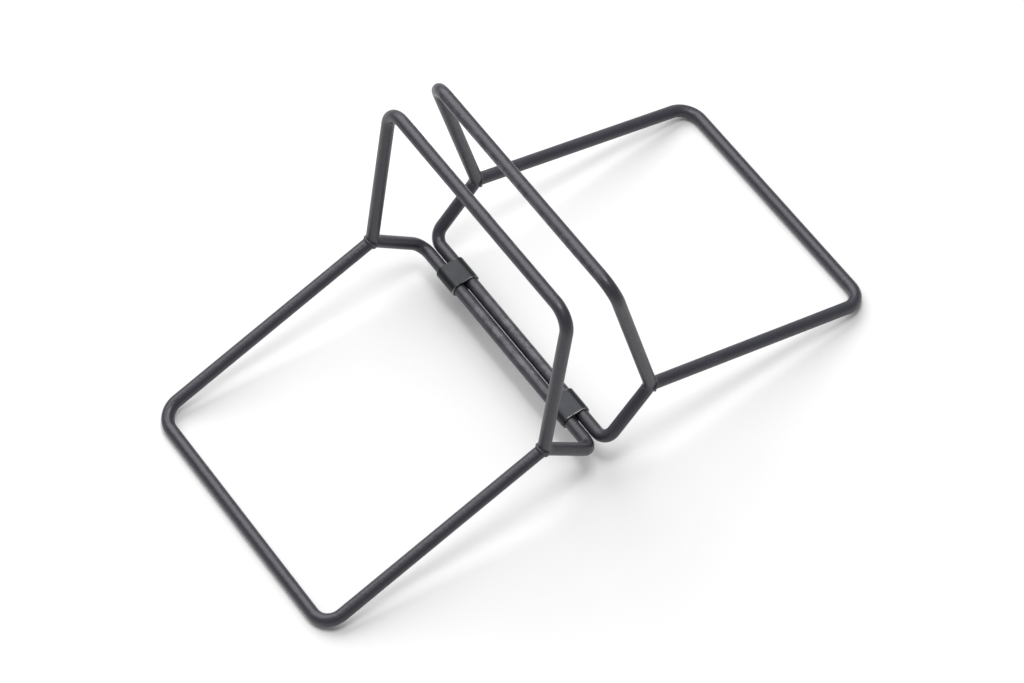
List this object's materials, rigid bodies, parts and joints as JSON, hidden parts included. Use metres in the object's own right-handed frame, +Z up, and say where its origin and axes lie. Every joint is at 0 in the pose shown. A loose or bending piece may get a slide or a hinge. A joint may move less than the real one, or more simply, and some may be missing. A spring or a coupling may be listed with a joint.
{
  "type": "bicycle wheel floor stand",
  "caption": "Self-clamping floor stand of bent coated rod: hinged wings hold a bicycle wheel upright between their hoops.",
  "frame": {"origin": "on the floor, under the middle of the stand", "axes": "+X towards the right wing's foot bar, +Y towards the front of the wheel, +Z up"},
  "size_m": [0.544, 0.264, 0.2383],
  "materials": {
    "coated_rod": "satin",
    "hinge_clip": "black zinc plate, semi-gloss"
  },
  "bodies": {
    "hinge_clips": {"front_hinge_clip": "hinge_clip", "rear_hinge_clip": "hinge_clip"},
    "left_wing": {"left_hoop_loop": "coated_rod", "left_foot_loop": "coated_rod", "left_front_weld": "coated_rod", "left_rear_weld": "coated_rod"},
    "right_wing": {"right_hoop_loop": "coated_rod", "right_foot_loop": "coated_rod", "right_front_weld": "coated_rod", "right_rear_weld": "coated_rod"}
  },
  "joints": [
    {"name": "left_wing_hinge", "type": "hinge", "parent": "hinge_clips", "child": "left_wing", "pos_m": [-0.006, 0, 0.03], "axis": [0, -1, 0], "range_deg": [-4.3, 84]},
    {"name": "right_wing_hinge", "type": "hinge", "parent": "hinge_clips", "child": "right_wing", "pos_m": [0.006, 0, 0.03], "axis": [0, 1, 0], "range_deg": [-4.3, 84]}
  ]
}
